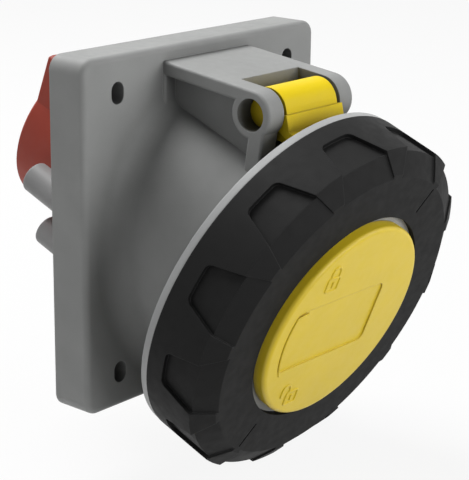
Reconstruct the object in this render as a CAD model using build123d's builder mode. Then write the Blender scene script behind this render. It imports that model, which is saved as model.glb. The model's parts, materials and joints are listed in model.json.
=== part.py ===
from build123d import *
from typing import NamedTuple
import math
import os

# Industrial panel socket outlet with a tilted barrel, a hinged sealing lid and a turning lock ring.
# The back of the flange is the mounting plane Y = 0. The socket faces -Y and tilts down. Z is up.
# "Out" below means along the tilted socket axis, measured from the mounting plane.

# Flange, millimetres
flange_margin_x = 12.25
flange_margin_z = 13.5
flange_depth = 13.6
flange_corner = 4.5
flange_edge = 1.8
flange_plate = 4.5
flange_wall = 7.5

# Slotted fixing holes
slot_inset_x = 13.75
slot_inset_z = 11.0
slot_width = 5.0
slot_height = 6.6
slot_wall = 2.4

# Flange gasket
gasket_inset = 2.0
gasket_width = 2.6
gasket_thickness = 2.2
gasket_fit = 0.1

# Tilted socket axis
tilt = 21.5
axis_height = 2.3

# Barrel, collar and floor
plug_gap = 6.5
barrel_wall = 3.5
barrel_root_blend = 7.0
mouth_out = 58.5
mouth_edge = 0.8
floor_out = 6.0
floor_thickness = 4.0
spigot_step = 1.8
rear_wall = 3.3
keyway_width = 8.0
keyway_depth = 1.6
clearance = 0.3
overrun = 1.0

# Bayonet: two ramps on the barrel and two lugs in the ring
ramp_height = 8.3
ramp_setback = 6.5
ramp_thickness = 4.3
ramp_start = -62.0
ramp_end = 30.0
lug_angle = 50.0
lug_span = 16.0
lug_clearance = 4.0
lug_setback = 1.6
lug_thickness = 3.8
lug_gap = 0.4
half_turn = 180.0

# Hinge hood and ears
hinge_setback = 15.4
hinge_drop = 0.6
hood_half_width = 19.6
hood_inset = 4.1
hood_plate = 4.4
ear_radius = 7.1
ear_thickness = 6.5
ear_hole_radius = 4.8
web_recess = 4.4
hood_edge = 0.9
strut_width = 5.6
strut_lean = 3.0
notch_back = 8.9

# Lid cap
cap_side_gap = 0.5
cap_lift = 1.8
cap_thickness = 4.2
cap_skirt_wall = 5.2
cap_skirt_length = 2.8
boss_clearance = 0.05
cap_boss_wall = 3.0
seal_groove_depth = 1.2
arm_half_width = 13.0
arm_thickness = 5.2
knuckle_half_width = 11.7
knuckle_radius = 6.9
bridge_angle = 34.0
shoulder_step = 0.8
shoulder_drop = 1.7
stub_radius = 4.72
stub_engagement = 1.2
stub_chamfer = 0.5

# Lid gasket
lid_seal_half_width = 2.2
lid_seal_gap = 0.2

# Bayonet ring
ring_clearance = 3.4
ring_wall = 2.5
ring_front_wall = 3.1
ring_flat_inset = 0.1
ring_corner_length = 2.5
rim_inset = 0.2
ring_rim_thickness = 2.4
axial_play = 0.3

# Grip ring
grip_wall = 2.1
grip_front_thickness = 2.0
grip_opening_gap = 2.05
grip_chamfer_width = 6.7
grip_chamfer_length = 3.8
pocket_count = 12
pocket_phase = 11.5
pocket_depth = 1.35
pocket_face_depth = 0.7
pocket_length = 15.4
pocket_back_half = 5.9
pocket_flare = 0.31
pocket_corner = 2.2
mark_angle = 56.0
mark_inset = 4.1
mark_margin = 2.0
mark_width = 0.8
mark_depth = 0.5

# Cover disc
disc_radius = 32.85
disc_overlap = 2.85
disc_height = 4.2
disc_edge = 1.4
disc_label_margin = 5.35
disc_label_side = 15.0
disc_label_height = 21.4
disc_label_corner = 2.4
disc_label_depth = 0.5
disc_spigot_radius = 10.0
disc_spigot_length = 2.2
spigot_clearance = 0.1

# Contacts
contact_inset = 12.5
carrier_radius = 30.0
carrier_recess = 6.5
carrier_edge = 1.2
spigot_gap = 0.3
sleeve_front_gap = 2.0
pilot_setback = 2.5
live_bore = 4.05
live_wall = 1.95
earth_bore = 5.05
earth_wall = 1.95
pilot_bore = 3.05
pilot_wall = 1.45
pin_hole_clearance = 0.45
chamber_clearance = 0.25
spring_room = 1.1
spring_wire = 0.8
spring_back_from_tip = 6.0
spring_length = 3.0
slit_width = 0.8
slit_length = 19.0
guide_length = 20.0
sleeve_shoulder = 1.6
shoulder_out = 8.0
bore_depth = 39.0
wire_hole_depth = 17.0
wire_hole_wall = 2.3
terminal_inset = 9.0
terminal_screw_radius = 3.0
pilot_screw_radius = 1.6
terminal_screw_length = 4.4
terminal_screw_from_back = 5.5
terminal_screw_spacing = 8.0
screw_slot_width = 1.1
screw_slot_depth = 1.3
screw_window_clearance = 0.6

# Terminal carrier behind the flange
drum_step = 0.7
drum_back_out = -45.0
drum_edge = 1.0
rear_gap = 0.5
carrier_flange_thickness = 4.0
block_inset = 3.5
block_rise = 2.1
block_front_out = -14.0
block_corner = 1.5
carrier_seal_width = 1.4
carrier_seal_depth = 1.8

# Retainer with screw posts
retainer_thickness = 4.0
retainer_inset = 0.2
post_setback = 2.5
post_radius = 5.0
post_angles = (185.5, 231.0)
post_inset = 16.5
post_edge = 0.6
screw_radius = 1.7
screw_head_radius = 3.1
screw_head_height = 2.3
screw_head_sink = 2.6
screw_bite = 3.2
drive_width = 1.0
drive_depth = 0.9


# The tilted axis and its planes
tilt_sine = math.sin(math.radians(tilt))
tilt_cosine = math.cos(math.radians(tilt))
out_direction = (0, -tilt_cosine, -tilt_sine)
socket_plane = Plane(origin=(0, 0, axis_height), x_dir=(1, 0, 0), z_dir=out_direction)
section_plane = Plane(origin=(0, 0, axis_height), x_dir=(1, 0, 0), z_dir=(0, tilt_sine, -tilt_cosine))
side_plane = Plane(origin=(0, 0, axis_height), x_dir=out_direction, z_dir=(-1, 0, 0))
socket_axis = Axis((0, 0, axis_height), out_direction)

# Barrel and flange, worked out from the sizes above
barrel_radius = carrier_radius + plug_gap + barrel_wall
collar_inner = barrel_radius - barrel_wall
flange_width = 2 * (barrel_radius + flange_margin_x)
flange_height = 2 * (barrel_radius + flange_margin_z)
slot_spacing_x = flange_width - 2 * slot_inset_x
slot_spacing_z = flange_height - 2 * slot_inset_z
floor_hole_radius = carrier_radius - spigot_step
floor_front_out = floor_out + floor_thickness
carrier_front_out = mouth_out - carrier_recess
contact_pitch_radius = carrier_radius - contact_inset
sleeve_tip_out = carrier_front_out - sleeve_front_gap
far = flange_height

# Bayonet, ring and grip
ramp_out = mouth_out - ramp_setback
lug_inner_radius = barrel_radius + lug_clearance
lug_out = ramp_out - lug_gap - lug_thickness
ring_wall_inner = barrel_radius + ramp_height + ring_clearance
ring_wall_outer = ring_wall_inner + ring_wall
ring_bore_radius = disc_radius - disc_overlap
ring_back_out = lug_out - lug_setback
grip_radius = ring_wall_outer + grip_wall
grip_flat_radius = grip_radius - grip_chamfer_width
grip_opening_radius = disc_radius + grip_opening_gap
grip_back_out = ring_back_out + ring_rim_thickness
ring_rim_radius = grip_radius - rim_inset
ring_flat_radius = grip_flat_radius - ring_flat_inset
mark_inner_radius = grip_opening_radius + mark_inset
mark_outer_radius = grip_flat_radius - mark_margin

# Lid cap, and the stack in front of it
cap_radius = ring_wall_inner - cap_side_gap
cap_skirt_inner = cap_radius - cap_skirt_wall
cap_boss_radius = ring_bore_radius - boss_clearance
cap_back_out = mouth_out + cap_lift
cap_front_out = cap_back_out + cap_thickness
ring_front_back_out = cap_front_out + axial_play
ring_front_out = ring_front_back_out + ring_front_wall
grip_front_out = ring_front_out + grip_front_thickness
disc_back_out = ring_front_out + axial_play
disc_label_radius = disc_radius - disc_label_margin

# Hinge
hinge_out = ring_back_out - hinge_setback
hinge_rise = cap_radius - hinge_drop
hinge_y = -(hinge_out * tilt_cosine + hinge_rise * tilt_sine)
hinge_z = axis_height + hinge_rise * tilt_cosine - hinge_out * tilt_sine
hood_back_height = flange_height / 2 - hood_inset
ear_inner = hood_half_width - ear_thickness

# Rear pieces
drum_radius = floor_hole_radius - drum_step
terminal_back_out = drum_back_out + terminal_inset
carrier_flange_radius = barrel_radius - rear_wall - rear_gap
block_half_width = drum_radius - block_inset
block_top = drum_radius + block_rise
carrier_seal_inner = floor_hole_radius + clearance
retainer_inner_radius = drum_radius + clearance
retainer_outer_radius = carrier_flange_radius - retainer_inset
post_pitch_radius = retainer_outer_radius - post_setback
post_back_out = drum_back_out + post_inset
post_turns = [turn for angle in post_angles for turn in (angle, half_turn - angle)]


def square_to_axis(out):
    """Plane square to the socket axis, this far out from the mounting plane."""
    return socket_plane.offset(out)


def ring_sector(inner, outer, start, end):
    """Flat piece of a ring between two radii and two angles."""
    turn = end - start
    with BuildSketch() as sector:
        with BuildLine():
            outer_arc = CenterArc((0, 0), outer, start, turn)
            inner_arc = CenterArc((0, 0), inner, start, turn)
            Line(outer_arc @ 0, inner_arc @ 0)
            Line(outer_arc @ 1, inner_arc @ 1)
        make_face()
    return sector.sketch


def post_circles(radius):
    """One circle on each of the four retainer posts."""
    with BuildSketch() as circles:
        for turn in post_turns:
            with PolarLocations(post_pitch_radius, 1, start_angle=turn):
                Circle(radius)
    return circles.sketch


def hood_solid():
    """Hinge hood: sloping top plate, two ears with their holes, side webs and front struts."""
    back_y = -flange_depth
    reach = math.hypot(hinge_y - back_y, hinge_z - hood_back_height)
    slope = math.atan2(hinge_z - hood_back_height, hinge_y - back_y) - math.asin(ear_radius / reach)
    run = math.sqrt(reach ** 2 - ear_radius ** 2)
    tangent = (back_y + run * math.cos(slope), hood_back_height + run * math.sin(slope))
    strut_front = hinge_y - strut_width
    strut_foot = hinge_z - barrel_radius / 2
    inside_flange = back_y + flange_plate
    with BuildPart() as hood:
        with BuildSketch(Plane.YZ):
            with BuildLine():
                Polyline(
                    (inside_flange, hood_back_height),
                    (back_y, hood_back_height),
                    tangent,
                    (hinge_y, hinge_z),
                    (strut_front, hinge_z),
                    (strut_front + strut_lean, strut_foot),
                    (inside_flange, strut_foot),
                    close=True,
                )
            make_face()
            with Locations((hinge_y, hinge_z)):
                Circle(ear_radius)
        extrude(amount=hood_half_width, both=True)
        # Recess in each side between the plate, the ear, the strut and the barrel
        for side in (-1, 1):
            with BuildSketch(Plane.YZ.offset(side * (hood_half_width - web_recess))):
                with BuildLine():
                    Polyline(
                        (back_y - flange_edge / 2, hood_back_height - hood_plate),
                        (tangent[0], tangent[1] - hood_plate),
                        (hinge_y, hinge_z),
                        (hinge_y + strut_lean, strut_foot),
                        (back_y - flange_edge / 2, strut_foot),
                        close=True,
                    )
                make_face()
                with Locations((hinge_y, hinge_z)):
                    Circle(ear_radius, mode=Mode.SUBTRACT)
            extrude(amount=side * web_recess, mode=Mode.SUBTRACT)
        # Notch for the lid's knuckle, and the hollow behind it under the plate
        with BuildSketch(Plane.YZ):
            with Locations((hinge_y + notch_back, hinge_z)):
                Rectangle(far, far, align=(Align.MAX, Align.CENTER))
        extrude(amount=ear_inner, both=True, mode=Mode.SUBTRACT)
        with BuildSketch(Plane.YZ):
            with BuildLine():
                Polyline(
                    (back_y - hood_plate, hood_back_height - hood_plate),
                    (tangent[0], tangent[1] - hood_plate),
                    (tangent[0], strut_foot),
                    (back_y - hood_plate, strut_foot),
                    close=True,
                )
            make_face()
        extrude(amount=ear_inner - web_recess / 2, both=True, mode=Mode.SUBTRACT)
        with Locations((0, hinge_y, hinge_z)):
            Cylinder(ear_hole_radius, flange_width, rotation=(0, 90, 0), mode=Mode.SUBTRACT)
        side_faces = hood.faces().filter_by(Axis.X).group_by(Axis.X)
        for side_face in (side_faces[0][0], side_faces[-1][0]):
            fillet(side_face.outer_wire().edges(), hood_edge)
    return hood.part


# Flange, barrel, ramps and hinge hood in one moulding
with BuildPart() as housing_moulding:
    with BuildSketch(Plane.XZ):
        RectangleRounded(flange_width, flange_height, flange_corner)
    extrude(amount=flange_depth)
    fillet(housing_moulding.faces().sort_by(Axis.Y)[0].edges(), flange_edge)
    # Barrel along the tilted axis, cut off at the mounting plane
    with BuildSketch(square_to_axis(-flange_depth * 2)):
        Circle(barrel_radius)
    extrude(amount=mouth_out + flange_depth * 2)
    split(bisect_by=Plane.XZ, keep=Keep.TOP)
    root = housing_moulding.edges().filter_by(GeomType.ELLIPSE)
    front_root = root.filter_by_position(Axis.Y, -flange_depth - overrun, overrun - flange_depth)
    fillet(front_root, barrel_root_blend)
    add(hood_solid())
    # Ramps that the ring's lugs run behind
    with BuildSketch(square_to_axis(ramp_out)):
        for turn in (0, half_turn):
            add(ring_sector(barrel_radius - overrun, barrel_radius + ramp_height, ramp_start + turn,
                            ramp_end + turn))
    extrude(amount=ramp_thickness)
    # Hollow flange, with walls left round the slots and the barrel
    with BuildPart(mode=Mode.PRIVATE) as flange_hollow:
        with BuildSketch(Plane.XZ):
            RectangleRounded(flange_width - 2 * flange_wall, flange_height - 2 * flange_wall, flange_corner)
            with GridLocations(slot_spacing_x, slot_spacing_z, 2, 2):
                RectangleRounded(slot_width + 2 * slot_wall, slot_height + 2 * slot_wall,
                                 slot_width / 2, mode=Mode.SUBTRACT)
        extrude(amount=flange_depth - flange_plate)
        with BuildSketch(square_to_axis(-far)):
            Circle(barrel_radius)
        extrude(amount=2 * far, mode=Mode.SUBTRACT)
    add(flange_hollow.part, mode=Mode.SUBTRACT)
    # Barrel bore, floor hole and rear cavity
    with BuildSketch(square_to_axis(floor_front_out)):
        Circle(collar_inner)
    extrude(amount=far, mode=Mode.SUBTRACT)
    with BuildSketch(square_to_axis(floor_out)):
        Circle(floor_hole_radius)
    extrude(amount=far, mode=Mode.SUBTRACT)
    with BuildSketch(square_to_axis(floor_out)):
        Circle(barrel_radius - rear_wall)
    extrude(amount=-far, mode=Mode.SUBTRACT)
    mouth_rims = housing_moulding.faces().filter_by(socket_axis).sort_by(socket_axis)[-1].edges()
    chamfer(mouth_rims, mouth_edge)
    # Keyway at the bottom of the collar
    with BuildSketch(square_to_axis(mouth_out)):
        with Locations((0, -collar_inner)):
            Rectangle(keyway_width, 2 * keyway_depth)
    extrude(amount=floor_front_out + carrier_recess - mouth_out, mode=Mode.SUBTRACT)
    # Slotted fixing holes
    with BuildSketch(Plane.XZ):
        with GridLocations(slot_spacing_x, slot_spacing_z, 2, 2):
            SlotOverall(slot_height, slot_width, rotation=90)
    extrude(amount=flange_depth + overrun, mode=Mode.SUBTRACT)
    # Gasket groove in the back of the rim
    with BuildSketch(Plane.XZ):
        RectangleRounded(flange_width - 2 * gasket_inset, flange_height - 2 * gasket_inset,
                         flange_corner - gasket_inset / 2)
        RectangleRounded(flange_width - 2 * gasket_inset - 2 * gasket_width,
                         flange_height - 2 * gasket_inset - 2 * gasket_width,
                         flange_corner / 2, mode=Mode.SUBTRACT)
    extrude(amount=gasket_thickness, mode=Mode.SUBTRACT)
    # Screw holes in the floor for the retainer's screws
    with BuildSketch(square_to_axis(floor_out)):
        add(post_circles(screw_radius))
    extrude(amount=screw_bite, mode=Mode.SUBTRACT)


# The moulding in two solids that meet in the plane of the ramps' backs
with BuildPart() as flange_housing:
    add(housing_moulding.part)
    split(bisect_by=square_to_axis(ramp_out), keep=Keep.BOTTOM)
flange_housing.part.label = "flange_housing"

with BuildPart() as bayonet_collar:
    add(housing_moulding.part)
    split(bisect_by=square_to_axis(ramp_out), keep=Keep.TOP)
bayonet_collar.part.label = "bayonet_collar"


# Rubber frame in the flange's rear groove
with BuildPart() as mounting_gasket:
    with BuildSketch(Plane.XZ):
        RectangleRounded(flange_width - 2 * gasket_inset - 2 * gasket_fit,
                         flange_height - 2 * gasket_inset - 2 * gasket_fit,
                         flange_corner - gasket_inset / 2)
        RectangleRounded(flange_width - 2 * gasket_inset - 2 * gasket_width + 2 * gasket_fit,
                         flange_height - 2 * gasket_inset - 2 * gasket_width + 2 * gasket_fit,
                         flange_corner / 2, mode=Mode.SUBTRACT)
    extrude(amount=gasket_thickness)
mounting_gasket.part.label = "mounting_gasket"


class Contact(NamedTuple):
    """One contact: its place on the socket face seen from the front, its tube, screws and setback."""
    name: str
    angle: float
    pitch_radius: float
    bore: float
    wall: float
    screw_angle: float
    screw_radius: float
    screw_count: int
    setback: float = 0.0

    @property
    def point(self):
        turn = math.radians(self.angle)
        return (self.pitch_radius * math.cos(turn), self.pitch_radius * math.sin(turn))

    @property
    def tip_out(self):
        return sleeve_tip_out - self.setback

    @property
    def tube_radius(self):
        return self.bore + self.wall

    @property
    def body_radius(self):
        return self.tube_radius + sleeve_shoulder

    @property
    def wire_hole_radius(self):
        return self.body_radius - wire_hole_wall

    @property
    def screw_outs(self):
        first = terminal_back_out + terminal_screw_from_back
        return [first + number * terminal_screw_spacing for number in range(self.screw_count)]


contacts = [
    Contact("live_top", 90, contact_pitch_radius, live_bore, live_wall, 90, terminal_screw_radius, 2),
    Contact("live_left", 210, contact_pitch_radius, live_bore, live_wall, 285, terminal_screw_radius, 2),
    Contact("earth", -30, contact_pitch_radius, earth_bore, earth_wall, 60, terminal_screw_radius, 2),
    Contact("pilot", 0, 0, pilot_bore, pilot_wall, 270, pilot_screw_radius, 1, pilot_setback),
]


# Insulating block with a stepped chamber for each contact
with BuildPart() as contact_carrier:
    with BuildSketch(square_to_axis(floor_front_out)):
        Circle(carrier_radius)
    extrude(amount=carrier_front_out - floor_front_out)
    with BuildSketch(square_to_axis(floor_out)):
        Circle(floor_hole_radius - spigot_gap)
    extrude(amount=floor_thickness)
    front_rim = contact_carrier.faces().filter_by(socket_axis).sort_by(socket_axis)[-1].edges()
    chamfer(front_rim, carrier_edge)
    for contact in contacts:
        with BuildSketch(square_to_axis(floor_out)):
            with Locations(contact.point):
                Circle(contact.bore + pin_hole_clearance)
        extrude(amount=far, mode=Mode.SUBTRACT)
        with BuildSketch(square_to_axis(floor_out)):
            with Locations(contact.point):
                Circle(contact.tube_radius + chamber_clearance)
        extrude(amount=contact.tip_out + clearance - floor_out, mode=Mode.SUBTRACT)
        with BuildSketch(square_to_axis(floor_front_out + guide_length)):
            with Locations(contact.point):
                Circle(contact.tube_radius + spring_room)
        extrude(amount=contact.tip_out + clearance - floor_front_out - guide_length, mode=Mode.SUBTRACT)
        with BuildSketch(square_to_axis(floor_out)):
            with Locations(contact.point):
                Circle(contact.body_radius + chamber_clearance)
        extrude(amount=shoulder_out + clearance - floor_out, mode=Mode.SUBTRACT)
    # Polarising rib under the keyway
    with BuildSketch(square_to_axis(floor_front_out)):
        with Locations((0, -carrier_radius)):
            Rectangle(keyway_width / 2, 2 * keyway_depth)
    extrude(amount=carrier_front_out - floor_front_out - carrier_edge)
contact_carrier.part.label = "contact_carrier"


def cross_rod(contact, out, radius, inner, outer):
    """Round rod through a contact, square to the socket axis, between two distances from its centre."""
    turn = math.radians(contact.screw_angle)
    direction = (math.cos(turn), -math.sin(turn) * tilt_sine, math.sin(turn) * tilt_cosine)
    centre = square_to_axis(out).from_local_coords((*contact.point, 0))
    with BuildPart() as rod:
        with BuildSketch(Plane(origin=centre, x_dir=out_direction, z_dir=direction).offset(inner)):
            Circle(radius)
        extrude(amount=outer - inner)
    return rod.part


def contact_sleeve(contact):
    """Turned contact tube: slit front end, shoulder, and a terminal end drilled for wire and screws."""
    with BuildPart() as sleeve:
        with BuildSketch(square_to_axis(terminal_back_out)):
            with Locations(contact.point):
                Circle(contact.tube_radius)
        extrude(amount=contact.tip_out - terminal_back_out)
        with BuildSketch(square_to_axis(terminal_back_out)):
            with Locations(contact.point):
                Circle(contact.body_radius)
        extrude(amount=shoulder_out - terminal_back_out)
        with BuildSketch(square_to_axis(contact.tip_out - bore_depth)):
            with Locations(contact.point):
                Circle(contact.bore)
        extrude(amount=far, mode=Mode.SUBTRACT)
        with BuildSketch(square_to_axis(terminal_back_out)):
            with Locations(contact.point):
                Circle(contact.wire_hole_radius)
        extrude(amount=wire_hole_depth, mode=Mode.SUBTRACT)
        # Slit across the tip
        with BuildSketch(square_to_axis(contact.tip_out)):
            with Locations(contact.point):
                Rectangle(slit_width, 2 * contact.body_radius)
        extrude(amount=-slit_length, mode=Mode.SUBTRACT)
        for out in contact.screw_outs:
            add(cross_rod(contact, out, contact.screw_radius, 0, far), mode=Mode.SUBTRACT)
    return sleeve.part


def terminal_screws(contact):
    """Grub screws that reach through the sleeve's wall down to the wire."""
    tip = contact.wire_hole_radius
    with BuildPart() as screws:
        for out in contact.screw_outs:
            add(cross_rod(contact, out, contact.screw_radius, tip, tip + terminal_screw_length))
            slot = cross_rod(contact, out, 2 * contact.screw_radius, tip + terminal_screw_length
                             - screw_slot_depth, tip + 2 * terminal_screw_length)
            blade = square_to_axis(out - screw_slot_width / 2)
            with BuildPart(mode=Mode.PRIVATE) as drive:
                with BuildSketch(blade):
                    Circle(far)
                extrude(amount=screw_slot_width)
                add(slot, mode=Mode.INTERSECT)
            add(drive.part, mode=Mode.SUBTRACT)
    return screws.part


def tip_spring(contact):
    """Split spring ring that squeezes the slit tip of a sleeve."""
    with BuildPart() as spring:
        with BuildSketch(square_to_axis(contact.tip_out - spring_back_from_tip)):
            with Locations(contact.point):
                Circle(contact.tube_radius + spring_wire)
                Circle(contact.tube_radius, mode=Mode.SUBTRACT)
            with Locations((contact.point[0] + contact.tube_radius, contact.point[1])):
                Rectangle(contact.tube_radius, slit_width, mode=Mode.SUBTRACT)
        extrude(amount=spring_length)
    return spring.part


# Red-brown drum with the terminal block, and the flange that holds it to the barrel's floor
with BuildPart() as terminal_moulding:
    with BuildSketch(square_to_axis(floor_out)):
        Circle(carrier_flange_radius)
    extrude(amount=-carrier_flange_thickness)
    with BuildSketch(square_to_axis(drum_back_out)):
        Circle(drum_radius)
    extrude(amount=floor_out - drum_back_out)
    with BuildSketch(square_to_axis(drum_back_out)) as block:
        Rectangle(2 * block_half_width, block_top, align=(Align.CENTER, Align.MIN))
        fillet(block.vertices().sort_by(Axis.Y)[-2:], block_corner)
    extrude(amount=block_front_out - drum_back_out)
    back_face = terminal_moulding.faces().filter_by(socket_axis).sort_by(socket_axis)[0]
    chamfer(back_face.edges(), drum_edge)
    # Chambers for the contacts, open at the back, and windows over their screws
    for contact in contacts:
        with BuildSketch(square_to_axis(floor_out)):
            with Locations(contact.point):
                Circle(contact.body_radius + chamber_clearance)
        extrude(amount=drum_back_out - floor_out, mode=Mode.SUBTRACT)
        for out in contact.screw_outs:
            window = contact.screw_radius + screw_window_clearance
            add(cross_rod(contact, out, window, 0, far), mode=Mode.SUBTRACT)
    # Seal groove in the front of the carrier's flange
    with BuildSketch(square_to_axis(floor_out)):
        Circle(carrier_seal_inner + carrier_seal_width)
        Circle(carrier_seal_inner, mode=Mode.SUBTRACT)
    extrude(amount=-carrier_seal_depth, mode=Mode.SUBTRACT)
    # Holes for the retainer's screws
    with BuildSketch(square_to_axis(floor_out)):
        add(post_circles(screw_radius))
    extrude(amount=-carrier_flange_thickness, mode=Mode.SUBTRACT)


# The carrier in two solids that meet at the back of its flange, where the retainer sits
retainer_front_out = floor_out - carrier_flange_thickness
with BuildPart() as terminal_carrier:
    add(terminal_moulding.part)
    split(bisect_by=square_to_axis(retainer_front_out), keep=Keep.BOTTOM)
terminal_carrier.part.label = "terminal_carrier"

with BuildPart() as carrier_flange:
    add(terminal_moulding.part)
    split(bisect_by=square_to_axis(retainer_front_out), keep=Keep.TOP)
carrier_flange.part.label = "carrier_flange"


# Soft ring between the carrier's flange and the barrel's floor
with BuildPart() as carrier_seal:
    with BuildSketch(square_to_axis(floor_out)):
        Circle(carrier_seal_inner + carrier_seal_width)
        Circle(carrier_seal_inner, mode=Mode.SUBTRACT)
    extrude(amount=-carrier_seal_depth)
carrier_seal.part.label = "carrier_seal"


# Grey half ring with four long screw posts
retainer_back_out = retainer_front_out - retainer_thickness
with BuildPart() as carrier_retainer:
    with BuildSketch(square_to_axis(retainer_front_out)):
        add(ring_sector(retainer_inner_radius, retainer_outer_radius, half_turn, 2 * half_turn))
    extrude(amount=-retainer_thickness)
    with BuildSketch(square_to_axis(retainer_back_out)):
        add(post_circles(post_radius))
    extrude(amount=post_back_out - retainer_back_out)
    post_ends = carrier_retainer.faces().filter_by(socket_axis).group_by(socket_axis)[0]
    fillet(post_ends.edges(), post_edge)
    with BuildSketch(square_to_axis(retainer_front_out)):
        add(post_circles(screw_radius))
    extrude(amount=-far, mode=Mode.SUBTRACT)
    with BuildSketch(square_to_axis(post_back_out)):
        add(post_circles(screw_head_radius + clearance))
    extrude(amount=screw_head_sink, mode=Mode.SUBTRACT)
carrier_retainer.part.label = "carrier_retainer"


# Four long screws through the posts into the barrel's floor
screw_seat_out = post_back_out + screw_head_sink
with BuildPart() as carrier_screws:
    with BuildSketch(square_to_axis(screw_seat_out)):
        add(post_circles(screw_radius))
    extrude(amount=floor_out + screw_bite - screw_seat_out)
    with BuildSketch(square_to_axis(screw_seat_out)):
        add(post_circles(screw_head_radius))
    extrude(amount=-screw_head_height)
    # Cross recess in each head
    with BuildSketch(square_to_axis(screw_seat_out - screw_head_height)):
        for turn in post_turns:
            with PolarLocations(post_pitch_radius, 1, start_angle=turn):
                Rectangle(2 * screw_head_radius - drive_width, drive_width)
                Rectangle(drive_width, 2 * screw_head_radius - drive_width)
    extrude(amount=drive_depth, mode=Mode.SUBTRACT)
carrier_screws.part.label = "carrier_screws"


# Yellow sealing cap with its hinge arm, knuckle and stubs
seal_radius = barrel_radius - barrel_wall / 2
skirt_back_out = cap_back_out - cap_skirt_length
arm_foot_out = ring_back_out - clearance
arm_inner_radius = cap_radius - arm_thickness
arm_side_angle = math.degrees(math.asin(arm_half_width / cap_radius))
with BuildPart() as lid_cap:
    with BuildSketch(section_plane):
        with BuildLine():
            Polyline(
                (0, cap_front_out - cap_boss_wall + axial_play),
                (cap_boss_radius - cap_boss_wall, cap_front_out - cap_boss_wall + axial_play),
                (cap_boss_radius - cap_boss_wall, cap_back_out),
                (cap_skirt_inner, cap_back_out),
                (cap_skirt_inner, skirt_back_out),
                (cap_radius, skirt_back_out),
                (cap_radius, cap_front_out),
                (cap_boss_radius, cap_front_out),
                (cap_boss_radius, disc_back_out),
                (0, disc_back_out),
                close=True,
            )
        make_face()
    revolve(axis=socket_axis)
    # Arm that leaves the cap inside the ring
    with BuildSketch(square_to_axis(arm_foot_out)):
        add(ring_sector(arm_inner_radius, cap_radius, 90 - arm_side_angle, 90 + arm_side_angle))
    extrude(amount=cap_back_out - arm_foot_out)
    # Bridge from the arm to the hinge
    arm_top = math.sqrt(cap_radius ** 2 - arm_half_width ** 2)
    bridge_end = ring_back_out + arm_thickness
    hinge_point = Vector(hinge_out, hinge_rise)
    face_normal = Vector(1, 0).rotate(Axis.Z, bridge_angle)
    face_fall = Vector(0, -1).rotate(Axis.Z, bridge_angle)
    bridge_start = hinge_point + face_normal * knuckle_radius
    bridge_foot = bridge_start + face_fall * ((bridge_start.Y - arm_top) / -face_fall.Y)
    with BuildSketch(side_plane):
        with BuildLine():
            Polyline(
                bridge_start,
                bridge_foot,
                (bridge_end, arm_top),
                (bridge_end, arm_inner_radius),
                (arm_foot_out, arm_inner_radius),
                (hinge_out, hinge_rise - knuckle_radius),
                hinge_point,
                close=True,
            )
        make_face()
    extrude(amount=knuckle_half_width, both=True)
    # Wider shoulder of the bridge, a step in front of its face
    shoulder_back = hinge_point + face_fall * shoulder_drop
    with BuildSketch(side_plane):
        with BuildLine():
            Polyline(
                shoulder_back,
                shoulder_back + face_normal * (knuckle_radius + shoulder_step),
                bridge_foot + Vector(shoulder_step / face_normal.X, 0),
                (bridge_end, arm_top),
                (bridge_end, arm_inner_radius),
                (arm_foot_out, arm_inner_radius),
                close=True,
            )
        make_face()
    extrude(amount=arm_half_width, both=True)
    with Locations((0, hinge_y, hinge_z)):
        Cylinder(knuckle_radius, 2 * knuckle_half_width, rotation=(0, 90, 0))
        Cylinder(stub_radius, 2 * (ear_inner + stub_engagement), rotation=(0, 90, 0))
    stub_ends = lid_cap.faces().filter_by(Axis.X).sort_by(Axis.X)
    chamfer(stub_ends[0].edges(), stub_chamfer)
    chamfer(stub_ends[-1].edges(), stub_chamfer)
    # Groove for the lid gasket
    with BuildSketch(square_to_axis(cap_back_out)):
        Circle(seal_radius + lid_seal_half_width)
        Circle(seal_radius - lid_seal_half_width, mode=Mode.SUBTRACT)
    extrude(amount=seal_groove_depth, mode=Mode.SUBTRACT)
    # Seat for the cover disc's spigot
    with BuildSketch(square_to_axis(disc_back_out)):
        Circle(disc_spigot_radius + spigot_clearance)
    extrude(amount=-disc_spigot_length, mode=Mode.SUBTRACT)
lid_cap.part.label = "lid_cap"


# Soft sealing ring that meets the collar's mouth
with BuildPart() as lid_gasket:
    with BuildSketch(square_to_axis(mouth_out + lid_seal_gap)):
        Circle(seal_radius + lid_seal_half_width)
        Circle(seal_radius - lid_seal_half_width, mode=Mode.SUBTRACT)
    extrude(amount=cap_back_out + seal_groove_depth - mouth_out - lid_seal_gap)
lid_gasket.part.label = "lid_gasket"


# Light grey locking ring with two lugs
with BuildPart() as ring_moulding:
    with BuildSketch(section_plane):
        with BuildLine():
            Polyline(
                (ring_bore_radius, ring_front_back_out),
                (ring_wall_inner, ring_front_back_out),
                (ring_wall_inner, ring_back_out),
                (ring_rim_radius, ring_back_out),
                (ring_rim_radius, grip_back_out),
                (ring_wall_outer, grip_back_out),
                (ring_wall_outer, ring_front_out - ring_corner_length),
                (ring_flat_radius, ring_front_out),
                (ring_bore_radius, ring_front_out),
                close=True,
            )
        make_face()
    revolve(axis=socket_axis)
    with BuildSketch(square_to_axis(lug_out)):
        for angle in (lug_angle, lug_angle + half_turn):
            add(ring_sector(lug_inner_radius, (ring_wall_inner + ring_wall_outer) / 2,
                            angle - lug_span / 2, angle + lug_span / 2))
    extrude(amount=lug_thickness)


# The ring in two solids that meet in the plane of the lugs' fronts
with BuildPart() as ring_rim:
    add(ring_moulding.part)
    split(bisect_by=square_to_axis(lug_out + lug_thickness), keep=Keep.BOTTOM)
ring_rim.part.label = "ring_rim"

with BuildPart() as bayonet_ring:
    add(ring_moulding.part)
    split(bisect_by=square_to_axis(lug_out + lug_thickness), keep=Keep.TOP)
bayonet_ring.part.label = "bayonet_ring"


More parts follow.
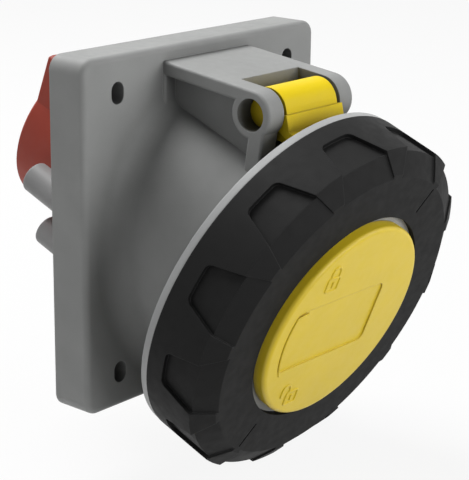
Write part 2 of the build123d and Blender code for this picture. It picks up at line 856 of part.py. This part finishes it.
# Black grip ring with twelve finger pockets
def grip_profile(side, face):
    """Half section of the grip ring, its side and chamfer set in by these amounts."""
    radius = grip_radius - side
    flat = grip_flat_radius - face * (grip_radius - grip_flat_radius) / grip_chamfer_length
    chamfer_back = grip_front_out - grip_chamfer_length
    with BuildSketch() as profile:
        with BuildLine():
            Polyline(
                (ring_wall_outer, grip_back_out),
                (radius, grip_back_out),
                (radius, chamfer_back - face + side / 2),
                (flat, grip_front_out),
                (grip_opening_radius, grip_front_out),
                (grip_opening_radius, ring_front_out),
                (ring_flat_radius, ring_front_out),
                (ring_wall_outer, ring_front_out - ring_corner_length),
                close=True,
            )
        make_face()
    return profile.sketch


with BuildPart() as pocket_floor:
    with BuildSketch(section_plane):
        add(grip_profile(pocket_depth, pocket_face_depth))
    revolve(axis=socket_axis)

pocket_front = pocket_back_half + pocket_flare * (pocket_length + overrun)
with BuildPart() as pocket:
    with BuildSketch(section_plane) as pocket_outline:
        with BuildLine():
            Polyline(
                (-pocket_back_half, grip_front_out - pocket_length),
                (pocket_back_half, grip_front_out - pocket_length),
                (pocket_front, grip_front_out + overrun),
                (-pocket_front, grip_front_out + overrun),
                close=True,
            )
        make_face()
        fillet(pocket_outline.vertices().sort_by(Axis.Y)[:2], pocket_corner)
    extrude(amount=-2 * grip_radius)
    add(pocket_floor.part, mode=Mode.SUBTRACT)

with BuildPart() as ring_grip:
    with BuildSketch(section_plane):
        add(grip_profile(0, 0))
    revolve(axis=socket_axis)
    for number in range(pocket_count):
        turn = pocket_phase + number * 2 * half_turn / pocket_count - half_turn / 2
        add(pocket.part.rotate(socket_axis, turn), mode=Mode.SUBTRACT)
    # Index lines on the front face, opposite each other
    with BuildSketch(square_to_axis(grip_front_out)):
        with PolarLocations((mark_inner_radius + mark_outer_radius) / 2, 2, start_angle=mark_angle):
            Rectangle(mark_outer_radius - mark_inner_radius, mark_width)
    extrude(amount=-mark_depth, mode=Mode.SUBTRACT)
ring_grip.part.label = "ring_grip"


# Yellow raised disc that holds the ring on the cap
with BuildPart() as lid_cover_disc:
    with BuildSketch(square_to_axis(disc_back_out)):
        Circle(disc_radius)
    extrude(amount=disc_height)
    disc_front = lid_cover_disc.faces().filter_by(socket_axis).sort_by(socket_axis)[-1]
    fillet(disc_front.edges(), disc_edge)
    with BuildSketch(square_to_axis(disc_back_out)):
        Circle(disc_spigot_radius)
    extrude(amount=spigot_clearance - disc_spigot_length)
    # Shallow bare label field, straight on the right and curved on the left
    with BuildSketch(square_to_axis(disc_back_out + disc_height)) as label_field:
        Circle(disc_label_radius)
        with Locations((disc_label_side, 0)):
            Rectangle(2 * disc_label_radius, disc_label_height, align=(Align.MAX, Align.CENTER),
                      mode=Mode.INTERSECT)
        fillet(label_field.vertices(), disc_label_corner)
    extrude(amount=-disc_label_depth, mode=Mode.SUBTRACT)
lid_cover_disc.part.label = "lid_cover_disc"


# One STEP file for each piece
os.makedirs("parts", exist_ok=True)
export_step(flange_housing.part, "parts/flange_housing.step")
export_step(bayonet_collar.part, "parts/bayonet_collar.step")
export_step(mounting_gasket.part, "parts/mounting_gasket.step")
export_step(contact_carrier.part, "parts/contact_carrier.step")
export_step(terminal_carrier.part, "parts/terminal_carrier.step")
export_step(carrier_flange.part, "parts/carrier_flange.step")
export_step(carrier_seal.part, "parts/carrier_seal.step")
export_step(carrier_retainer.part, "parts/carrier_retainer.step")
export_step(carrier_screws.part, "parts/carrier_screws.step")
export_step(lid_cap.part, "parts/lid_cap.step")
export_step(lid_gasket.part, "parts/lid_gasket.step")
export_step(ring_rim.part, "parts/ring_rim.step")
export_step(bayonet_ring.part, "parts/bayonet_ring.step")
export_step(ring_grip.part, "parts/ring_grip.step")
export_step(lid_cover_disc.part, "parts/lid_cover_disc.step")
for contact in contacts:
    sleeve = contact_sleeve(contact)
    sleeve.label = f"{contact.name}_sleeve"
    export_step(sleeve, f"parts/{contact.name}_sleeve.step")
    spring = tip_spring(contact)
    spring.label = f"{contact.name}_spring"
    export_step(spring, f"parts/{contact.name}_spring.step")
    screws = terminal_screws(contact)
    screws.label = f"{contact.name}_screws"
    export_step(screws, f"parts/{contact.name}_screws.step")
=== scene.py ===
import bpy
import bmesh
import json
import math
from mathutils import Matrix, Vector


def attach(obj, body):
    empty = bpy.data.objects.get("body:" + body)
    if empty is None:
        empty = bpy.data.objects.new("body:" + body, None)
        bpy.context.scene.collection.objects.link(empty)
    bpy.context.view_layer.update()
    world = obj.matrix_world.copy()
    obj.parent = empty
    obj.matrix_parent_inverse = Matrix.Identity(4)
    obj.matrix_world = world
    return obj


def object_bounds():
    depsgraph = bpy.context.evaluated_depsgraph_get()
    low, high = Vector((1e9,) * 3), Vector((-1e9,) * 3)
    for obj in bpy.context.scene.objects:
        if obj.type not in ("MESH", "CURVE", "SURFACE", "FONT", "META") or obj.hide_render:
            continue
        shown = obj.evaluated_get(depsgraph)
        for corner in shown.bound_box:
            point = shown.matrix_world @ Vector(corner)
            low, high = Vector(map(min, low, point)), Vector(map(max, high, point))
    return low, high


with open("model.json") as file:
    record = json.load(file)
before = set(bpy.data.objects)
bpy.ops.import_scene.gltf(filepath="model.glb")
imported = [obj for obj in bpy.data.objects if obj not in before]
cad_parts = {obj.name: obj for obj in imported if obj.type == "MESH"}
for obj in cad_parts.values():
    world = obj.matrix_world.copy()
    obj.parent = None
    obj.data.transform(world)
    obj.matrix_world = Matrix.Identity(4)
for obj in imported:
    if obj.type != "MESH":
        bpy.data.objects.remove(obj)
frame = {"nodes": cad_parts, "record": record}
cad_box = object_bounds()
nodes = frame["nodes"]
scene = bpy.context.scene
scene.view_settings.view_transform = "Standard"

# The socket's tilted axis, in metres. "Out" is the distance along it from the mounting plane.
TILT = math.radians(21.5)
AXIS_START = Vector((0, 0, 0.0023))
OUT = Vector((0, -math.cos(TILT), -math.sin(TILT)))
RISE = Vector((0, -math.sin(TILT), math.cos(TILT)))
SIDE = Vector((1, 0, 0))
DISC_FACE = 0.0724

# Surface detail, with painted edge highlight and painted crevice shade: lengths in metres, and scales
# of the noise per metre
GRAIN_DEPTH = 0.00004
GRAIN_STRENGTH = 0.5
GRAIN_SCALE = 2600.0
GLOSS_SCALE = 320.0
GLOSS_SPREAD = 0.05
MOTTLE_SCALE = 55.0
EDGE_RADIUS = 0.0004
EDGE_GAIN = 0.8
# Painted shade: the colour darkens in crevices that ambient occlusion finds within this reach, down
# to this share of the tone
PAINTED_SHADE_REACH = 0.016
PAINTED_SHADE_DEPTH = 0.15

# Raised signs on the disc, in millimetres
SIGN_RADIUS = 0.36
PADLOCK_WIDTH = 5.2
PADLOCK_HEIGHT = 4.6
PADLOCK_CORNER = 0.7
SHACKLE_RADIUS = 1.8
KEYHOLE_TOP = 0.9
KEYHOLE_BOTTOM = -1.1
LABEL_RADIUS = 26.9

# Floor, world and lamps, in metres
FLOOR_HALF_SIZE = 6.0
FLOOR_GAP = 0.004
FLOOR_COLOUR = (0.6, 0.6, 0.6, 1)
FLOOR_GLOW = 0.9
WORLD_FILL = 0.03
WHITE = (1, 1, 1, 1)
LAMP_DISTANCE = 1.05
LAMP_AIM = Vector((0, -0.03, 0))
LAMP_SIZE = 0.6

# The photograph's camera, solved from points of the photograph: degrees, metres, pixels, sensor in mm
CAMERA_AZIMUTH = -49.65
CAMERA_ELEVATION = 16.63
CAMERA_ROLL = 0.68
CAMERA_DISTANCE = 0.539
CAMERA_TARGET = Vector((0.02982, 0, -0.01903))
FOCAL_PIXELS = 1621.4
PHOTO_WIDTH = 469
SENSOR_WIDTH = 36.0


def on_socket(x, rise, out):
    """Point given across, up and out along the tilted socket axis, in metres."""
    return AXIS_START + SIDE * x + RISE * rise + OUT * out


# Node helpers

def new_material(name):
    material = bpy.data.materials.new(name)
    material.use_nodes = True
    tree = material.node_tree
    return material, tree, tree.nodes["Principled BSDF"]


def add_node(tree, kind, **settings):
    """New node, with each setting given to the input or else the property of that name."""
    node = tree.nodes.new(kind)
    for key, value in settings.items():
        if key in node.inputs:
            node.inputs[key].default_value = value
        else:
            setattr(node, key, value)
    return node


def feed(tree, value, socket):
    """Links an output to the socket, or sets the socket to a plain value."""
    if isinstance(value, bpy.types.NodeSocket):
        tree.links.new(value, socket)
    else:
        socket.default_value = value


def noise(tree, coords, scale, detail=2.0):
    node = add_node(tree, "ShaderNodeTexNoise", Scale=scale, Detail=detail)
    tree.links.new(coords, node.inputs["Vector"])
    return node.outputs["Fac"]


def ranged(tree, value, low, high, start=0.3, end=0.7):
    """Value from start to end, spread over low to high."""
    node = add_node(tree, "ShaderNodeMapRange", **{"From Min": start, "From Max": end,
                                                   "To Min": low, "To Max": high})
    tree.links.new(value, node.inputs["Value"])
    return node.outputs["Result"]


def mixed(tree, factor, first, second):
    """Colour between two, each an output or three linear numbers."""
    node = add_node(tree, "ShaderNodeMix", data_type="RGBA")
    sockets = [socket for socket in node.inputs if socket.type == "RGBA"]
    for socket, tone in zip(sockets, (first, second)):
        feed(tree, tone if isinstance(tone, bpy.types.NodeSocket) else (*tone, 1.0), socket)
    tree.links.new(factor, node.inputs["Factor"])
    return next(socket for socket in node.outputs if socket.type == "RGBA")


def calculated(tree, operation, first, second):
    node = add_node(tree, "ShaderNodeMath", operation=operation)
    feed(tree, first, node.inputs[0])
    feed(tree, second, node.inputs[1])
    return node.outputs["Value"]


def blended(tree, factor, first, second):
    """Shader between two."""
    node = tree.nodes.new("ShaderNodeMixShader")
    for value, socket in zip((factor, first, second), node.inputs):
        tree.links.new(value, socket)
    return node.outputs["Shader"]


def seen_plainly(tree):
    """1 where the camera, a reflection or a clear piece shows the surface, and 0 for its light."""
    path = tree.nodes.new("ShaderNodeLightPath").outputs
    mirrored = calculated(tree, "MAXIMUM", path["Is Glossy Ray"], path["Is Transmission Ray"])
    return calculated(tree, "MAXIMUM", path["Is Camera Ray"], mirrored)


def edge_factor(tree):
    """How sharply the surface turns, from 0 on flats up along edges, and its softened normal."""
    soft_normal = add_node(tree, "ShaderNodeBevel", samples=4, Radius=EDGE_RADIUS).outputs["Normal"]
    flat_normal = tree.nodes.new("ShaderNodeNewGeometry").outputs["Normal"]
    dot = add_node(tree, "ShaderNodeVectorMath", operation="DOT_PRODUCT")
    tree.links.new(soft_normal, dot.inputs[0])
    tree.links.new(flat_normal, dot.inputs[1])
    return ranged(tree, dot.outputs["Value"], EDGE_GAIN, 0.0, 0.7, 1.0), soft_normal


# Materials

def moulded(name, tone, roughness, mottle=0.06, edge_wear_and_highlight=0.12, metal=0.0, specular=0.5,
            crevice_painted_shade=0.0):
    """Moulded or turned surface: slight mottling, fine grain, paler edges that are partly wear and
    partly painted highlight, and painted shade in crevices.
    """
    material, tree, shader = new_material(name)
    shader.inputs["Metallic"].default_value = metal
    shader.inputs["Specular IOR Level"].default_value = specular
    coords = tree.nodes.new("ShaderNodeTexCoord").outputs["Object"]
    edges, soft_normal = edge_factor(tree)
    base = mixed(tree, ranged(tree, noise(tree, coords, MOTTLE_SCALE, 3.0), 0.0, 1.0),
                 [share * (1 - mottle) for share in tone],
                 [min(1.0, share * (1 + mottle)) for share in tone])
    # Painted shade: the colour darkens where ambient occlusion finds a crevice
    if crevice_painted_shade:
        open_share = add_node(tree, "ShaderNodeAmbientOcclusion", samples=8,
                              Distance=PAINTED_SHADE_REACH).outputs["AO"]
        base = mixed(tree, ranged(tree, open_share, crevice_painted_shade, 0.0, 0.1, 0.9), base,
                     [share * PAINTED_SHADE_DEPTH for share in tone])
    # Paler edges: partly wear, partly a painted highlight along rounded edges
    worn_and_highlit = [share + (1 - share) * edge_wear_and_highlight for share in tone]
    tree.links.new(mixed(tree, edges, base, worn_and_highlit), shader.inputs["Base Color"])
    tree.links.new(ranged(tree, noise(tree, coords, GLOSS_SCALE), roughness - GLOSS_SPREAD,
                          roughness + GLOSS_SPREAD), shader.inputs["Roughness"])
    bump = add_node(tree, "ShaderNodeBump", Distance=GRAIN_DEPTH, Strength=GRAIN_STRENGTH)
    tree.links.new(noise(tree, coords, GRAIN_SCALE), bump.inputs["Height"])
    tree.links.new(soft_normal, bump.inputs["Normal"])
    tree.links.new(bump.outputs["Normal"], shader.inputs["Normal"])
    return material


def linear(level):
    """Linear share for a level as the eye reads it, 0 to 255."""
    share = level / 255
    return share / 12.92 if share <= 0.04045 else ((share + 0.055) / 1.055) ** 2.4


def colour(red, green, blue):
    return tuple(linear(level) for level in (red, green, blue))


# crevice_painted_shade paints shade into the recesses of the housing, grip and lid
LOOKS = {
    "housing_grey": moulded("housing_grey", colour(135, 136, 135), 0.55, specular=0.2, crevice_painted_shade=0.7),
    "retainer_grey": moulded("retainer_grey", colour(136, 136, 136), 0.5, specular=0.2),
    "ring_grey": moulded("ring_grey", colour(150, 151, 151), 0.5),
    "carrier_dark": moulded("carrier_dark", colour(60, 60, 62), 0.5),
    "drum_red": moulded("drum_red", colour(142, 48, 30), 0.55, specular=0.3),
    "seal_black": moulded("seal_black", colour(34, 34, 34), 0.7),
    "grip_black": moulded("grip_black", colour(22, 22, 22), 0.6, mottle=0.03, edge_wear_and_highlight=0.03,
                          specular=0.1, crevice_painted_shade=0.5),
    "lid_yellow": moulded("lid_yellow", colour(217, 190, 2), 0.5, mottle=0.03, edge_wear_and_highlight=0.05,
                          specular=0.2, crevice_painted_shade=0.8),
    "disc_yellow": moulded("disc_yellow", colour(203, 177, 30), 0.4, mottle=0.03, edge_wear_and_highlight=0.05,
                           specular=0.45),
    "contact_brass": moulded("contact_brass", colour(214, 178, 104), 0.3, metal=1.0),
    "spring_steel": moulded("spring_steel", colour(190, 190, 194), 0.3, metal=1.0),
    "screw_steel": moulded("screw_steel", colour(198, 198, 202), 0.32, metal=1.0),
}

for part in frame["record"]["subparts"]:
    surface = nodes[part["node"]].data
    surface.materials.clear()
    surface.materials.append(LOOKS[part["material_slot"]])


# Signs and label edge on the cover disc: rounded ridges sunk half into its face

def ridge(name, runs):
    """Raised rounded line along runs of points on the disc's face, in millimetres."""
    curve = bpy.data.curves.new(name, "CURVE")
    curve.dimensions = "3D"
    curve.bevel_depth = SIGN_RADIUS / 1000
    curve.bevel_resolution = 3
    curve.use_fill_caps = True
    for points in runs:
        spline = curve.splines.new("POLY")
        spline.points.add(len(points) - 1)
        for target, (x, rise) in zip(spline.points, points):
            target.co = (*on_socket(x / 1000, rise / 1000, DISC_FACE), 1.0)
    curve.materials.append(LOOKS["disc_yellow"])
    piece = bpy.data.objects.new(name, curve)
    scene.collection.objects.link(piece)
    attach(piece, "lid")


def arch(x, rise, radius, start=0, end=180, steps=12):
    turns = [math.radians(start + (end - start) * step / steps) for step in range(steps + 1)]
    return [(x + radius * math.cos(turn), rise + radius * math.sin(turn)) for turn in turns]


def padlock(name, x, rise, shackle):
    """Padlock sign round the centre of its body, with the points of its shackle."""
    body = []
    for side, up, start in ((1, 1, 0), (-1, 1, 90), (-1, -1, 180), (1, -1, 270)):
        body += arch(x + side * (PADLOCK_WIDTH / 2 - PADLOCK_CORNER),
                     rise + up * (PADLOCK_HEIGHT / 2 - PADLOCK_CORNER), PADLOCK_CORNER,
                     start, start + 90, 4)
    keyhole = [(x, rise + KEYHOLE_TOP), (x, rise + KEYHOLE_BOTTOM)]
    ridge(name, [body + body[:1], shackle, keyhole])


padlock("sign_locked", -14.3, 18.0,
        [(-16.1, 20.3), *reversed(arch(-14.3, 22.2, SHACKLE_RADIUS)), (-12.5, 20.3)])
padlock("sign_unlocked", -13.2, -23.3,
        [(-15.0, -21.0), *arch(-16.8, -19.6, SHACKLE_RADIUS), (-18.6, -21.9)])
ridge("label_edge", [[(-20.8, 9.6), *arch(0, 0, LABEL_RADIUS, 160, 206, 16)]])


# Studio: pale floor and world, white where the camera or a reflection sees them

def pale_floor():
    """Floor under the socket, which glows but keeps a faint shadow."""
    mesh = bpy.data.meshes.new("floor")
    form = bmesh.new()
    bmesh.ops.create_grid(form, x_segments=1, y_segments=1, size=FLOOR_HALF_SIZE)
    form.to_mesh(mesh)
    form.free()
    floor = bpy.data.objects.new("floor", mesh)
    floor.location = (0, 0, cad_box[0].z - FLOOR_GAP)
    scene.collection.objects.link(floor)
    material, tree, shader = new_material("floor_white")
    shader.inputs["Base Color"].default_value = FLOOR_COLOUR
    shader.inputs["Roughness"].default_value = 0.8
    glow = add_node(tree, "ShaderNodeEmission", Color=WHITE)
    share = calculated(tree, "MULTIPLY", seen_plainly(tree), FLOOR_GLOW)
    tree.links.new(blended(tree, share, shader.outputs["BSDF"], glow.outputs["Emission"]),
                   tree.nodes["Material Output"].inputs["Surface"])
    mesh.materials.append(material)


def studio_world():
    """Soft grey fill light from all round."""
    world = bpy.data.worlds.new("studio")
    world.use_nodes = True
    scene.world = world
    tree = world.node_tree
    fill = tree.nodes["Background"]
    fill.inputs["Color"].default_value = WHITE
    fill.inputs["Strength"].default_value = WORLD_FILL
    white = add_node(tree, "ShaderNodeBackground", Color=WHITE, Strength=1.0)
    tree.links.new(blended(tree, seen_plainly(tree), fill.outputs["Background"],
                           white.outputs["Background"]),
                   tree.nodes["World Output"].inputs["Surface"])


def area_light(name, direction, watts):
    """Square soft lamp that shines on the socket from a direction."""
    lamp = bpy.data.lights.new(name, "AREA")
    lamp.shape = "SQUARE"
    lamp.size = LAMP_SIZE
    lamp.energy = watts
    light = bpy.data.objects.new(name, lamp)
    light.location = LAMP_AIM + Vector(direction).normalized() * LAMP_DISTANCE
    light.rotation_euler = (LAMP_AIM - light.location).to_track_quat("-Z", "Y").to_euler()
    scene.collection.objects.link(light)


def photo_camera():
    """Camera at the photograph's place, with its field of view."""
    azimuth = math.radians(CAMERA_AZIMUTH)
    elevation = math.radians(CAMERA_ELEVATION)
    roll = math.radians(CAMERA_ROLL)
    back = Vector((math.sin(azimuth) * math.cos(elevation), -math.cos(azimuth) * math.cos(elevation),
                   math.sin(elevation)))
    right = Vector((math.cos(azimuth), math.sin(azimuth), 0))
    up = back.cross(right)
    rolled_right = right * math.cos(roll) + up * math.sin(roll)
    rolled_up = up * math.cos(roll) - right * math.sin(roll)
    data = bpy.data.cameras.new("camera")
    data.sensor_fit = "HORIZONTAL"
    data.sensor_width = SENSOR_WIDTH
    data.lens = FOCAL_PIXELS / PHOTO_WIDTH * SENSOR_WIDTH
    data.clip_start = 0.01
    data.clip_end = 50.0
    camera = bpy.data.objects.new("camera", data)
    scene.collection.objects.link(camera)
    turn = Matrix((rolled_right, rolled_up, back)).transposed().to_4x4()
    camera.matrix_world = Matrix.Translation(CAMERA_TARGET + back * CAMERA_DISTANCE) @ turn
    scene.camera = camera


pale_floor()
studio_world()
area_light("back_top", (0, 0.5, 0.87), 17.0)
area_light("front", (0, -1, 0.15), 7.1)
area_light("right_front", (0.6, -0.7, 0.4), 3.6)
area_light("left_back", (-0.85, 0.45, 0.2), 1.3)
photo_camera()
